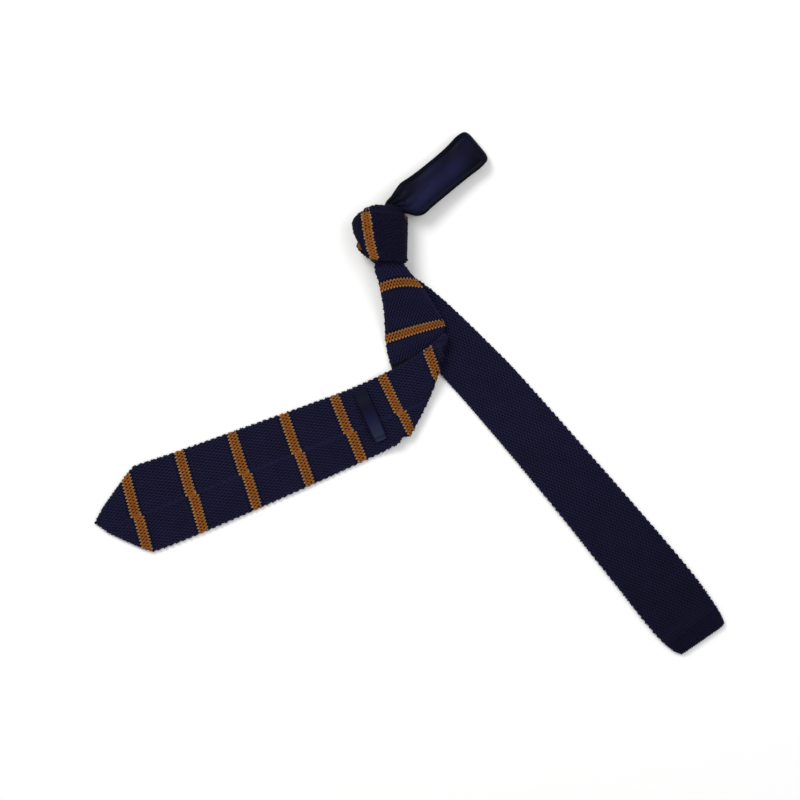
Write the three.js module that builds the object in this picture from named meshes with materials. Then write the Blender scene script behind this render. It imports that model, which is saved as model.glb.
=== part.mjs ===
// A knitted tie with a satin neck band, tied in a small loop, folded once and laid on a table.
// Millimetres, +Z up. The origin is under the middle of the knot, on the surface that the tie lies on.
// Headings are degrees from +X, seen from above. Left and right are as the knot is seen from above,
// with the neck band going away from the viewer (+Y) and the blades coming towards the viewer (-Y).
import * as THREE from 'three';

// Cloth
const knitThickness = 3.4; // a tube of knitting pressed flat, both of its layers
const satinThickness = 1.6; // the neck band, satin on both sides
const keeperThickness = 1;
const clothGap = 0.4; // air between two pieces that lie on each other

// Wide blade
const bladeWidth = 60; // across the corners of the point
const frontLength = 93.5; // knot to the middle of the fold
const backLength = 246; // middle of the fold to the tip
const pointLength = 35; // corners of the point to the tip
const frontHeading = -77;
const foldHeading = -110.9; // the line that the blade is folded on
const backHeading = -158.4;
const foldPuff = 1.1; // how much further apart the springy fold holds its two layers
const foldSettle = 25; // how far from the fold the layers lie close again
const foldBow = 3.4; // how far the fold bulges out past the straight line between its ends
const foldLower = 0.52; // its ends from its middle, as shares of bladeWidth
const foldUpper = 0.768;

// Narrow blade
const tailWidth = 46;
const tailLength = 342.5; // knot to the square end
const tailHeading = -49;
const hemLength = 13; // the turned-in end of the tube

// Knot
const knotWidth = 39.5;
const knotHeight = 44;
const coreThickness = 6; // the inner turn of knitting that the outer one goes round
const throatFill = 0.74; // share of the knot's inner width that a gathered blade fills

// Neck band
const bandWidth = 25;
const bandReach = 66.5; // knot to the far bend
const bandHeading = 39.9;
const bendRadius = 5; // middle of the cloth at the far bend
const bandCrown = 1.2; // how far the upper length's edges curl down
const crownRun = 20; // over which the crown grows out of the knot
const crownEnd = 12; // over which it fades before the far bend
const bandFall = 18; // the lower length, from the knot

// Keeper loop on the back of the wide blade
const keeperWidth = 8.8;
const keeperSpan = 38.2;
const keeperPlace = 37.8; // from the middle of the fold
const keeperDrop = 1.4; // from the middle of the blade, towards its lower edge
const keeperTurn = 8; // degrees that it is turned from straight across the blade
const keeperRise = 2; // room under its middle for the narrow blade

// How the layers come down to the table
const tailFall = 30; // the narrow blade, from the knot
const frontFall = 58; // the wide blade, from the knot
const drapeRun = 20; // the wide blade, past the narrow blade's edge
const foldRun = 28; // the folded-back part, past the front part's edge
const throatArch = 1.6; // how far the gathered blade's middle stands above its edges

// Section rows of the wide blade's front part. out is a share of frontLength; turn is the share of the way
// from straight across the blade to along the fold; open is 0 where it is gathered and 1 at full width; left
// and right are shares of the local width, measured along the section.
const FRONT = [
  { out: 0, turn: 0, open: 0, left: 0.609, right: 0.37 },
  { out: 0.106, turn: 0.39, open: 0.04, left: 0.592, right: 0.56 },
  { out: 0.234, turn: 0.54, open: 0.2, left: 0.486, right: 0.662 },
  { out: 0.307, turn: 0.6, open: 0.3, left: 0.482, right: 0.687 },
  { out: 0.538, turn: 0.76, open: 0.6, left: 0.474, right: 0.705 },
  { out: 0.812, turn: 0.88, open: 0.85, left: 0.458, right: 0.777 },
  { out: 0.944, turn: 0.94, open: 0.95, left: 0.474, right: 0.796 },
  { out: 1, turn: 1, open: 1, left: foldLower, right: foldUpper },
];

// The folded-back part up to the corners of its point. out is a share of that length, turn is in degrees,
// lower and upper are shares of bladeWidth: the left edge of the front part is its lower one, the right edge
// its upper.
const BACK = [
  { out: 0, turn: foldHeading - backHeading - 90, lower: foldLower, upper: foldUpper },
  { out: 0.031, turn: -36.7, lower: 0.555, upper: 0.575 },
  { out: 0.099, turn: -21.1, lower: 0.485, upper: 0.42 },
  { out: 0.186, turn: -5, lower: 0.474, upper: 0.362 },
  { out: 0.331, turn: 0, lower: 0.5, upper: 0.366 },
  { out: 0.579, turn: -2.8, lower: 0.541, upper: 0.394 },
  { out: 0.833, turn: -5.5, lower: 0.573, upper: 0.424 },
  { out: 0.96, turn: -8, lower: 0.578, upper: 0.45 },
  { out: 1, turn: -8.7, lower: 0.572, upper: 0.454 },
];

// The point. out is a share of pointLength, width a share of the width at its corners.
const POINT = [
  { out: 0, width: 1 },
  { out: 0.12, width: 0.92 },
  { out: 0.5, width: 0.575 },
  { out: 0.76, width: 0.33 },
  { out: 0.9, width: 0.19 },
  { out: 0.97, width: 0.1 },
  { out: 1, width: 0.03 },
];

// The narrow blade. out is a share of tailLength, turn is in degrees, left and right are shares of the local
// width, which opens from the gathered width to tailWidth.
const TAIL = [
  { out: 0, turn: 18, open: 0, left: 0.48, right: 0.5 },
  { out: 0.02, turn: 12, open: 0.05, left: 0.57, right: 0.58 },
  { out: 0.04, turn: 6, open: 0.1, left: 0.5, right: 0.66 },
  { out: 0.09, turn: 0, open: 0.4, left: 0.49, right: 0.62 },
  { out: 0.16, turn: 0, open: 0.7, left: 0.46, right: 0.53 },
  { out: 0.24, turn: 0, open: 0.9, left: 0.45, right: 0.47 },
  { out: 0.32, turn: 0, open: 1, left: 0.462, right: 0.43 },
  { out: 0.55, turn: 0, open: 1, left: 0.48, right: 0.455 },
  { out: 0.82, turn: 0, open: 1, left: 0.48, right: 0.54 },
  { out: 0.92, turn: -1, open: 1, left: 0.452, right: 0.57 },
  { out: 0.98, turn: -4.5, open: 1, left: 0.41, right: 0.52 },
  { out: 1, turn: -6, open: 1, left: 0.37, right: 0.44 },
];

// The knot from its foot to its head. up, left and right are shares of half its height and width, front is a
// share of the depth of what it holds.
const KNOT = [
  { up: -1, left: -0.557, right: 0.962, front: 1 },
  { up: -0.6, left: -0.77, right: 0.977, front: 1.05 },
  { up: -0.15, left: -0.911, right: 0.992, front: 1.1 },
  { up: 0.3, left: -1, right: 1, front: 1.1 },
  { up: 0.5, left: -0.937, right: 1, front: 1.07 },
  { up: 0.75, left: -0.72, right: 0.9, front: 1 },
  { up: 1, left: -0.405, right: 0.684, front: 0.93 },
];

// The two rims of the outer turn, going round the knot from its right side over its front. foot and head are
// shares of half the knot's height.
const RIM = [
  { around: 0, foot: -0.93, head: 0.55 },
  { around: 30, foot: -0.95, head: 0.62 },
  { around: 45, foot: -0.95, head: 0.74 },
  { around: 75, foot: -0.93, head: 0.955 },
  { around: 90, foot: -0.93, head: 0.968 },
  { around: 105, foot: -0.935, head: 0.92 },
  { around: 120, foot: -0.96, head: 0.86 },
  { around: 140, foot: -0.486, head: 0.745 },
  { around: 160, foot: -0.19, head: 0.586 },
  { around: 180, foot: -0.02, head: 0.41 },
  { around: 200, foot: -0.19, head: 0.45 },
  { around: 220, foot: -0.486, head: 0.55 },
  { around: 240, foot: -0.86, head: 0.65 },
  { around: 270, foot: -0.9, head: 0.68 },
  { around: 315, foot: -0.91, head: 0.6 },
  { around: 360, foot: -0.93, head: 0.55 },
];

// The inner turn, which fills the outer one and shows below its left side. up is a share of half the knot's
// height, left and right are shares of the room inside the outer turn, thick a share of coreThickness.
const CORE = [
  { up: -0.86, left: -0.6, right: 0.85, thick: 0.35 },
  { up: -0.78, left: -0.92, right: 0.93, thick: 0.62 },
  { up: -0.6, left: -1.2, right: 0.96, thick: 0.9 },
  { up: -0.36, left: -1.26, right: 0.96, thick: 1 },
  { up: -0.16, left: -0.99, right: 0.96, thick: 1 },
  { up: 0.3, left: -0.96, right: 0.96, thick: 1 },
  { up: 0.6, left: -0.94, right: 0.94, thick: 0.9 },
  { up: 0.76, left: -0.75, right: 0.8, thick: 0.6 },
  { up: 0.82, left: -0.5, right: 0.6, thick: 0.3 },
];

// The neck band's run, the same for its upper and its lower length. out is a share of bandReach, side and
// width are shares of bandWidth, turn is in degrees.
const BAND = [
  { out: -0.26, side: -0.03, turn: 48, width: 0.5 },
  { out: -0.18, side: 0.05, turn: 44, width: 0.5 },
  { out: -0.1, side: 0.1, turn: 33, width: 0.58 },
  { out: -0.03, side: 0.07, turn: 15, width: 0.83 },
  { out: 0.03, side: 0.055, turn: 6, width: 0.94 },
  { out: 0.1, side: 0.02, turn: 0, width: 1.03 },
  { out: 0.25, side: -0.01, turn: 0, width: 1 },
  { out: 0.45, side: -0.02, turn: 0, width: 0.98 },
  { out: 0.74, side: -0.02, turn: 0, width: 1 },
  { out: 0.88, side: -0.005, turn: 0, width: 1.07 },
  { out: 1, side: 0, turn: 0, width: 1.03 },
];

const radians = THREE.MathUtils.degToRad;
const { clamp, lerp } = THREE.MathUtils;

// Rises smoothly from 0 to 1 as t goes from 0 to 1.
function ease(t) {
  const s = clamp(t, 0, 1);
  return s * s * (3 - 2 * s);
}

// A column of a table at a value of its first column, on a smooth curve through the rows.
function column(rows, key, at, name) {
  let i = 0;
  while (i < rows.length - 2 && rows[i + 1][key] < at) i += 1;
  const row = (k) => rows[clamp(k, 0, rows.length - 1)];
  const slope = (k) => {
    const span = row(k + 1)[key] - row(k - 1)[key];
    return (row(k + 1)[name] - row(k - 1)[name]) / span;
  };
  const step = row(i + 1)[key] - row(i)[key];
  const t = clamp((at - row(i)[key]) / step, 0, 1);
  const [t2, t3] = [t * t, t * t * t];
  return (2 * t3 - 3 * t2 + 1) * row(i)[name] + (3 * t2 - 2 * t3) * row(i + 1)[name]
    + step * ((t3 - 2 * t2 + t) * slope(i) + (t3 - t2) * slope(i + 1));
}

// A point on the table that moves out along a heading.
function along(start, heading, distance) {
  const angle = radians(heading);
  return new THREE.Vector2(start.x + distance * Math.cos(angle), start.y + distance * Math.sin(angle));
}

// A straight section line through a point of the table: its two ends.
function section(middle, heading, back, forth) {
  return [along(middle, heading, -back), along(middle, heading, forth)];
}

// How far a point lies inside the edge of a layer, which is a chain of points with the layer on its left.
function insideEdge(edge, point) {
  let best = Infinity;
  let inside = 0;
  for (let i = 0; i + 1 < edge.length; i += 1) {
    const run = edge[i + 1].clone().sub(edge[i]);
    const toPoint = point.clone().sub(edge[i]);
    const share = clamp(toPoint.dot(run) / run.lengthSq(), 0, 1);
    const distance = toPoint.distanceTo(run.clone().multiplyScalar(share));
    if (distance < best) {
      best = distance;
      inside = Math.sign(run.x * toPoint.y - run.y * toPoint.x) * distance;
    }
  }
  return inside;
}

// 1 on a layer below, falling to 0 where this layer has come down beside it.
function overLayer(edge, point, run) {
  return ease(1 + insideEdge(edge, point) / run);
}

// A closed mesh through rings of points. A ring loops round to its first ring, or else both ends are capped.
function skin(rings, loops) {
  const size = rings[0].length;
  const points = rings.flat();
  const faces = [];
  const last = loops ? rings.length : rings.length - 1;
  for (let i = 0; i < last; i += 1) {
    const [here, next] = [i * size, ((i + 1) % rings.length) * size];
    for (let j = 0; j < size; j += 1) {
      const k = (j + 1) % size;
      faces.push([here + j, here + k, next + k], [here + j, next + k, next + j]);
    }
  }
  if (!loops) {
    for (const [first, flip] of [[0, true], [(rings.length - 1) * size, false]]) {
      const ring = points.slice(first, first + size);
      const centre = ring.reduce((sum, p) => sum.add(p), new THREE.Vector3()).divideScalar(size);
      points.push(centre);
      for (let j = 0; j < size; j += 1) {
        const pair = [first + j, first + ((j + 1) % size)];
        if (flip) pair.reverse();
        faces.push([...pair, points.length - 1]);
      }
    }
  }
  let volume = 0;
  for (const [a, b, c] of faces) volume += points[a].dot(points[b].clone().cross(points[c]));
  if (volume < 0) faces.forEach((face) => face.reverse());
  const geometry = new THREE.BufferGeometry().setFromPoints(points);
  geometry.setIndex(faces.flat());
  geometry.computeVertexNormals();
  return geometry;
}

// A strip of cloth round its middle surface, with rounded edges. middle(i, share) is the point of section i
// at a share of the way from its first edge to its second.
function strip(count, middle, thickness, steps) {
  const rings = [];
  for (let i = 0; i < count; i += 1) {
    const width = middle(i, 0).distanceTo(middle(i, 1));
    const half = Math.min(thickness / 2, 0.49 * width);
    const inset = half / width;
    const frame = (share) => {
      const [before, after] = [Math.max(i - 1, 0), Math.min(i + 1, count - 1)];
      const onward = middle(after, share).sub(middle(before, share));
      const across = middle(i, Math.min(share + 0.02, 1)).sub(middle(i, Math.max(share - 0.02, 0)));
      across.normalize();
      return { at: middle(i, share), across, normal: onward.cross(across).normalize() };
    };
    const shares = Array.from({ length: steps + 1 }, (_, k) => inset + (1 - 2 * inset) * (k / steps));
    const flat = (side) => shares.map(frame).map((f) => f.at.addScaledVector(f.normal, side * half));
    const round = (share, outward) => [45, 0, -45].map((degrees) => {
      const f = frame(share);
      return f.at.addScaledVector(f.normal, outward * half * Math.sin(radians(degrees)))
        .addScaledVector(f.across, outward * half * Math.cos(radians(degrees)));
    });
    rings.push([...flat(1), ...round(1 - inset, 1), ...flat(-1).reverse(), ...round(inset, -1)]);
  }
  return skin(rings, false);
}

// A point above the table.
const raised = (point, height) => new THREE.Vector3(point.x, point.y, height);

// What lies on what inside the knot, from the table up: the outer turn's back wall, the narrow blade, the
// inner turn, the gathered wide blade and the outer turn's front wall.
const layer = knitThickness + clothGap;
const coreMiddle = 2 * layer + coreThickness / 2;
const coreTop = coreMiddle + coreThickness / 2;
const knotDepth = coreTop + clothGap + throatArch + layer + knitThickness;
const halfHeight = knotHeight / 2;
const halfKnot = knotWidth / 2;
const footWidth = (KNOT[0].right - KNOT[0].left) * halfKnot - 2 * knitThickness;
const throatWidth = footWidth * throatFill;
const throatShift = 0.18; // of throatWidth, to the side that the blades leave on
const footMiddle = ((KNOT[0].right + KNOT[0].left) / 2) * halfKnot;
const throat = new THREE.Vector2(footMiddle + throatShift * throatWidth, -halfHeight);

// The share of its height in the knot that a layer still has where it has left the knot's foot.
function heldUp(point, fall) {
  return 1 - ease((-halfHeight - point.y) / fall);
}

// Narrow blade

const tailStart = new THREE.Vector2(throat.x - 0.08 * throatWidth, throat.y - knitThickness);

function tailSection(out) {
  const value = (name) => column(TAIL, 'out', out / tailLength, name);
  const width = lerp(throatWidth, tailWidth, value('open'));
  const middle = along(tailStart, tailHeading, out);
  return section(middle, tailHeading + 90 + value('turn'), width * value('right'), width * value('left'));
}

const tailInside = 0.45 * knotHeight; // how far the narrow blade runs up inside the knot
const tailRuns = 30;

// The narrow blade's section i, whose first few are gathered inside the knot, square to it.
function tailEnds(i, from, to, count) {
  const out = lerp(from, to, i / (count - 1));
  if (out >= 0) return tailSection(out);
  const middle = new THREE.Vector2(throat.x - 0.1 * throatWidth, tailStart.y - out);
  return section(middle, 0, throatWidth / 2, throatWidth / 2);
}

function tailHeight(point) {
  return knitThickness / 2 + layer * heldUp(point, tailFall);
}

function tailPiece(from, to, count) {
  const middle = (i, share) => {
    const [right, left] = tailEnds(i, from, to, count);
    const point = right.clone().lerp(left, share);
    return raised(point, tailHeight(point));
  };
  return strip(count, middle, knitThickness, 8);
}

const hemStart = tailLength - hemLength;
const tailEdge = Array.from({ length: 25 }, (_, i) => tailSection((i / 24) * tailLength)[0]);

// Wide blade

const foldMiddle = along(throat, frontHeading, frontLength);
const foldTurn = 180 + foldHeading - (frontHeading + 90);
const foldOutward = foldHeading + 90;
const foldRadius = (layer + foldPuff) / 2;

function frontSection(out) {
  const value = (name) => column(FRONT, 'out', out / frontLength, name);
  const width = lerp(throatWidth, bladeWidth, value('open'));
  const heading = frontHeading + 90 + foldTurn * value('turn');
  const middle = along(throat, frontHeading, out);
  return section(middle, heading, width * value('left'), width * value('right'));
}

// The same blade inside the knot, square to it. Here out is negative.
function gatheredSection(out) {
  const middle = new THREE.Vector2(throat.x, throat.y - out);
  return section(middle, 0, FRONT[0].left * throatWidth, FRONT[0].right * throatWidth);
}

function backSection(out) {
  const body = backLength - pointLength;
  const share = Math.min(out / body, 1);
  const taper = out > body ? column(POINT, 'out', (out - body) / pointLength, 'width') : 1;
  const value = (name) => column(BACK, 'out', share, name);
  const middle = along(foldMiddle, backHeading, out);
  const width = bladeWidth * taper;
  return section(middle, backHeading - 90 + value('turn'), width * value('lower'), width * value('upper'));
}

const frontEdge = Array.from({ length: 25 }, (_, i) => frontSection((i / 24) * frontLength)[0]);
const foldEnds = frontSection(frontLength);

// The shift of a point at a share of the way along its section, where the section follows the fold by some
// amount.
function bowed(point, share, follow) {
  return along(point, foldOutward, foldBow * Math.sin(Math.PI * share) * follow);
}

function frontHeight(point) {
  const overTail = overLayer(tailEdge, point, drapeRun);
  return knitThickness / 2 + layer * overTail + (coreThickness + clothGap + layer) * heldUp(point, frontFall);
}

// The folded-back part lies on the front part, close to it away from the fold, and beside it on the table.
function backHeight(point) {
  const fromFold = insideEdge([foldEnds[1], foldEnds[0]], point);
  const spacing = layer + foldPuff * (1 - ease(Math.abs(fromFold) / foldSettle));
  return frontHeight(point) + spacing * overLayer(frontEdge, point, foldRun);
}

const bladeInside = 0.5 * knotHeight; // how far the gathered blade runs up inside the knot
const frontRuns = 20;
const bendRuns = 8;
const backRuns = 36;

function bladeMiddle(i, share) {
  const bendStart = frontRuns - 1;
  const bendEnd = bendStart + bendRuns;
  if (i <= bendStart) {
    const out = lerp(-bladeInside, frontLength, i / bendStart);
    const ends = out < 0 ? gatheredSection(out) : frontSection(out);
    const point = bowed(ends[0].clone().lerp(ends[1], share), share, ease(2 * (out / frontLength) - 1));
    const arch = throatArch * (1 - (2 * share - 1) ** 2) * heldUp(point, frontFall / 2);
    return raised(point, frontHeight(point) + arch);
  }
  if (i < bendEnd) {
    const angle = (Math.PI * (i - bendStart)) / bendRuns;
    const point = bowed(foldEnds[0].clone().lerp(foldEnds[1], share), share, 1);
    const height = frontHeight(point) + foldRadius * (1 - Math.cos(angle));
    return raised(along(point, foldOutward, foldRadius * Math.sin(angle)), height);
  }
  const out = backLength * ((i - bendEnd) / (backRuns - 1));
  const [lower, upper] = backSection(out);
  const point = bowed(lower.clone().lerp(upper, share), share, 1 - ease(out / (2 * foldSettle)));
  return raised(point, backHeight(point));
}

// Knot

// A point of the outer turn, inset from its outside: around it in degrees, up along it. It is flat where it
// rests.
function knotSurface(around, up, inset) {
  const value = (name) => column(KNOT, 'up', up / halfHeight, name);
  const [left, right] = [value('left') * halfKnot + inset, value('right') * halfKnot - inset];
  const roundness = 2 / 3;
  const power = (n) => Math.sign(n) * Math.abs(n) ** roundness;
  const [c, s] = [power(Math.cos(radians(around))), power(Math.sin(radians(around)))];
  const centre = knotDepth / 2;
  const reach = s > 0 ? value('front') * knotDepth - inset - centre : 1.25 * (centre - inset);
  const across = (left + right) / 2 + (c * (right - left)) / 2;
  return new THREE.Vector3(across, up, Math.max(inset, centre + s * reach));
}

function knotWrap() {
  const [aroundSteps, upSteps] = [40, 9];
  const rings = [];
  for (let i = 0; i < aroundSteps; i += 1) {
    const around = (360 * i) / aroundSteps;
    const foot = column(RIM, 'around', around, 'foot') * halfHeight;
    const head = column(RIM, 'around', around, 'head') * halfHeight;
    const bevel = knitThickness / 4;
    const wall = (inset, from, to) => Array.from(
      { length: upSteps + 1 },
      (_, k) => knotSurface(around, lerp(from, to, k / upSteps), inset),
    );
    rings.push([
      ...wall(0, foot + bevel, head - bevel),
      knotSurface(around, head, knitThickness / 2),
      ...wall(knitThickness, head - bevel, foot + bevel),
      knotSurface(around, foot, knitThickness / 2),
    ]);
  }
  return skin(rings, true);
}

function knotCore() {
  const [aroundSteps, upSteps] = [22, 18];
  const rings = [];
  for (let i = 0; i <= upSteps; i += 1) {
    const share = lerp(CORE[0].up, CORE[CORE.length - 1].up, i / upSteps);
    const value = (name) => column(CORE, 'up', share, name);
    const room = knitThickness + clothGap;
    const inner = (name, sign) => column(KNOT, 'up', share, name) * halfKnot - sign * room;
    const [left, right] = [inner('left', -1), inner('right', 1)];
    const [centre, half] = [(left + right) / 2, (right - left) / 2];
    const [from, to] = [centre + half * value('left'), centre + half * value('right')];
    rings.push(Array.from({ length: aroundSteps }, (_, k) => {
      const angle = (2 * Math.PI * k) / aroundSteps;
      const x = (from + to) / 2 + ((to - from) / 2) * Math.cos(angle);
      const z = coreMiddle + (coreThickness / 2) * value('thick') * Math.sin(angle);
      return new THREE.Vector3(x, share * halfHeight, z);
    }));
  }
  return skin(rings, false);
}

// Neck band

const bandStart = new THREE.Vector2(0.85 * halfKnot, 0.9 * halfHeight);
const tableLength = satinThickness / 2;
const upperRoot = coreTop + clothGap + satinThickness / 2;
const lowerRoot = layer + satinThickness / 2;
const bendOut = bandReach - bendRadius;

function bandEnds(out) {
  const value = (name) => column(BAND, 'out', out / bandReach, name);
  const straight = along(bandStart, bandHeading, out);
  const middle = along(straight, bandHeading + 90, bandWidth * value('side'));
  const half = (bandWidth * value('width')) / 2;
  return section(middle, bandHeading + 90 + value('turn'), half, half);
}

function bandMiddle(i, share, runs) {
  const root = BAND[0].out * bandReach;
  const crown = bandCrown * (2 * share - 1) ** 2;
  const place = (out, height) => {
    const [right, left] = bandEnds(out);
    return raised(right.clone().lerp(left, share), height);
  };
  if (i < runs.upper) {
    const out = lerp(root, bendOut, i / runs.upper);
    const height = lerp(upperRoot, tableLength + 2 * bendRadius, ease(out / bendOut));
    const grown = ease((out - root) / crownRun) * ease((bendOut - out) / crownEnd);
    return place(out, height - crown * grown);
  }
  if (i <= runs.upper + runs.bend) {
    const angle = (Math.PI * (i - runs.upper)) / runs.bend;
    return place(bendOut + bendRadius * Math.sin(angle), tableLength + bendRadius * (1 + Math.cos(angle)));
  }
  const out = lerp(bendOut, root, (i - runs.upper - runs.bend) / runs.lower);
  return place(out, lerp(lowerRoot, tableLength, ease(out / bandFall + 0.28)));
}

function neckBand() {
  const runs = { upper: 18, bend: 10, lower: 16 };
  const count = runs.upper + runs.bend + runs.lower + 1;
  return strip(count, (i, share) => bandMiddle(i, share, runs), satinThickness, 8);
}

// Keeper loop

function keeperLoop() {
  const count = 15;
  const [lower, upper] = backSection(keeperPlace);
  const run = upper.clone().sub(lower).normalize();
  const middle = along(foldMiddle, backHeading, keeperPlace).addScaledVector(run, -keeperDrop);
  run.rotateAround(new THREE.Vector2(), radians(keeperTurn));
  const side = new THREE.Vector2(-run.y, run.x);
  const seat = (knitThickness + keeperThickness) / 2 + clothGap;
  return strip(count, (i, share) => {
    const t = i / (count - 1) - 0.5;
    const point = middle.clone().addScaledVector(run, keeperSpan * t)
      .addScaledVector(side, keeperWidth * (share - 0.5));
    return raised(point, backHeight(point) + seat + keeperRise * ease(3 * (0.5 - Math.abs(t))));
  }, keeperThickness, 3);
}

// The tie

const cloth = (color, roughness) => new THREE.MeshStandardMaterial({ color, roughness, metalness: 0 });
const navyKnit = cloth(0x1a1b36, 0.9);
const navySatin = cloth(0x23264c, 0.45);
const navyHem = cloth(0x17182e, 0.85);

const tie = new THREE.Group();

function add(name, geometry, material) {
  const mesh = new THREE.Mesh(geometry, material);
  mesh.name = name;
  tie.add(mesh);
}

add('wide_blade', strip(frontRuns + bendRuns + backRuns - 1, bladeMiddle, knitThickness, 12), navyKnit);
add('tail_blade', tailPiece(-tailInside, hemStart, tailRuns), navyKnit);
add('tail_hem', tailPiece(hemStart + clothGap, tailLength, 6), navyHem);
add('knot_wrap', knotWrap(), navyKnit);
add('knot_core', knotCore(), navyKnit);
add('neck_band', neckBand(), navySatin);
add('keeper_loop', keeperLoop(), navySatin);

export default tie;
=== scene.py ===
# %% [markdown]
# A knitted tie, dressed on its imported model
#
# The tie lies on a table with its knot tied. Its wide blade is folded back on itself, its narrow blade runs
# out beside it, and a satin band goes round the neck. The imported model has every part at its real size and
# place. What is added here is what a knitter and a seamstress add: the courses of yarn, the satin and its
# folds. Sizes are in millimetres and are turned into metres when a mesh is made. Only the materials and the
# sheets count in metres.

# %% Load the frame
import math

import bpy
import numpy as np
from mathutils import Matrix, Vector
from mathutils.bvhtree import BVHTree


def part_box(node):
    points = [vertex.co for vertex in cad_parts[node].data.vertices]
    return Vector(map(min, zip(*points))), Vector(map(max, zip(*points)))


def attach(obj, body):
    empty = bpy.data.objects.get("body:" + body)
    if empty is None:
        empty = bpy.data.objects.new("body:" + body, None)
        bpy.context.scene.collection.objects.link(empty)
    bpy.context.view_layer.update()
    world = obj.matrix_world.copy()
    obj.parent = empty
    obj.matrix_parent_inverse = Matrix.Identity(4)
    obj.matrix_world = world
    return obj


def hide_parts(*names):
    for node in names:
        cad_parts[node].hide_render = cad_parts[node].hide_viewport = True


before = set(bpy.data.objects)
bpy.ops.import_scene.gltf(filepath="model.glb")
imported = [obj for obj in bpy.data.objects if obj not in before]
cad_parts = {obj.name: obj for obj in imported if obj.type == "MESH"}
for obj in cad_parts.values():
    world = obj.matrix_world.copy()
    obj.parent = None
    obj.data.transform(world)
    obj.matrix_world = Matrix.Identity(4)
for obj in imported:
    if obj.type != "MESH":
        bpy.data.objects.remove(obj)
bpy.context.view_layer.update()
MM = 0.001

bpy.ops.object.select_all(action="DESELECT")
for name in sorted(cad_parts):
    low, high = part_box(name)
    print(name, [round(c / MM, 1) for c in low], [round(c / MM, 1) for c in high])

# %% [markdown]
# The table and the light
#
# The tie was laid on a white table under a wide soft light, so its shadows are short and pale and fall to the
# lower right. A world that is bright overhead and dim at the horizon gives the even light and darkens what
# faces sideways. One large lamp high on the left gives the shadows, and a weak one on the right softens them.
# A small lamp would be easier to aim, but it would draw hard shadows that the real table doesn't show.

# %% Table, light and camera
VIEW_MIDDLE = (14.1, -117.2)  # the point of the table under the middle of the picture
VIEW_WIDTH = 565
CAMERA_HEIGHT = 2400
SENSOR = 36
CLIP_END = 100  # metres
FLOOR_SIZE = 6  # metres
FLOOR_WHITE = (0.92, 0.92, 0.92, 1)
FLOOR_ROUGHNESS = 0.7
HORIZON_LIGHT = 0.3
ZENITH_LIGHT = 0.82


def make_table():
    place = (VIEW_MIDDLE[0] * MM, VIEW_MIDDLE[1] * MM, 0)
    bpy.ops.mesh.primitive_plane_add(size=FLOOR_SIZE, location=place)
    table = bpy.context.object
    table.name = "table"
    material = bpy.data.materials.new("white_table")
    material.use_nodes = True
    shader = material.node_tree.nodes["Principled BSDF"]
    shader.inputs["Base Color"].default_value = FLOOR_WHITE
    shader.inputs["Roughness"].default_value = FLOOR_ROUGHNESS
    table.data.materials.append(material)


def add_lamp(name, place, size, power, colour):
    aim = Vector((VIEW_MIDDLE[0], VIEW_MIDDLE[1], 0)) * MM
    bpy.ops.object.light_add(type="AREA", location=Vector(place) * MM)
    lamp = bpy.context.object
    lamp.name = name
    lamp.rotation_euler = (aim - lamp.location).to_track_quat("-Z", "Y").to_euler()
    lamp.data.shape = "DISK"
    lamp.data.size = size * MM
    lamp.data.energy = power
    lamp.data.color = colour


def make_camera():
    place = (VIEW_MIDDLE[0] * MM, VIEW_MIDDLE[1] * MM, CAMERA_HEIGHT * MM)
    bpy.ops.object.camera_add(location=place, rotation=(0, 0, 0))
    camera = bpy.context.object
    camera.data.sensor_width = SENSOR
    camera.data.lens = SENSOR * CAMERA_HEIGHT / VIEW_WIDTH
    camera.data.clip_end = CLIP_END
    bpy.context.scene.camera = camera
    return camera


def make_world():
    world = bpy.data.worlds.new("studio")
    bpy.context.scene.world = world
    world.use_nodes = True
    tree = world.node_tree
    where = tree.nodes.new("ShaderNodeTexCoord")
    split = tree.nodes.new("ShaderNodeSeparateXYZ")
    level = tree.nodes.new("ShaderNodeMapRange")
    level.inputs["To Min"].default_value = HORIZON_LIGHT
    level.inputs["To Max"].default_value = ZENITH_LIGHT
    tree.links.new(where.outputs["Generated"], split.inputs[0])
    tree.links.new(split.outputs["Z"], level.inputs["Value"])
    tree.links.new(level.outputs["Result"], tree.nodes["Background"].inputs["Strength"])
    tree.nodes["Background"].inputs["Color"].default_value = (1, 1, 1, 1)


make_table()
add_lamp("window", place=(-700, 900, 1300), size=900, power=18.5, colour=(1, 0.99, 0.97))
add_lamp("fill", place=(1000, 300, 1400), size=1200, power=7, colour=(0.97, 0.98, 1))
camera = make_camera()
make_world()
bpy.context.scene.view_settings.view_transform = "Standard"
print("lens", round(camera.data.lens, 1), "mm")

# %% [markdown]
# Writing materials as sums
#
# A material's pattern is arithmetic on the surface: a wave here, a noise there, mixed by a mask. Wiring each
# Math node by hand hides that sum, so one small class wraps a socket and turns plus and times into nodes.

# %% A socket that can be added and multiplied
class Wire:
    def __init__(self, graph, socket):
        self.graph = graph
        self.socket = socket

    def _math(self, operation, other):
        return self.graph.node("ShaderNodeMath", {"operation": operation}, {0: self, 1: other})

    def __add__(self, other):
        return self._math("ADD", other)

    def __sub__(self, other):
        return self._math("SUBTRACT", other)

    def __mul__(self, other):
        return self._math("MULTIPLY", other)

    __radd__ = __add__
    __rmul__ = __mul__


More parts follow.
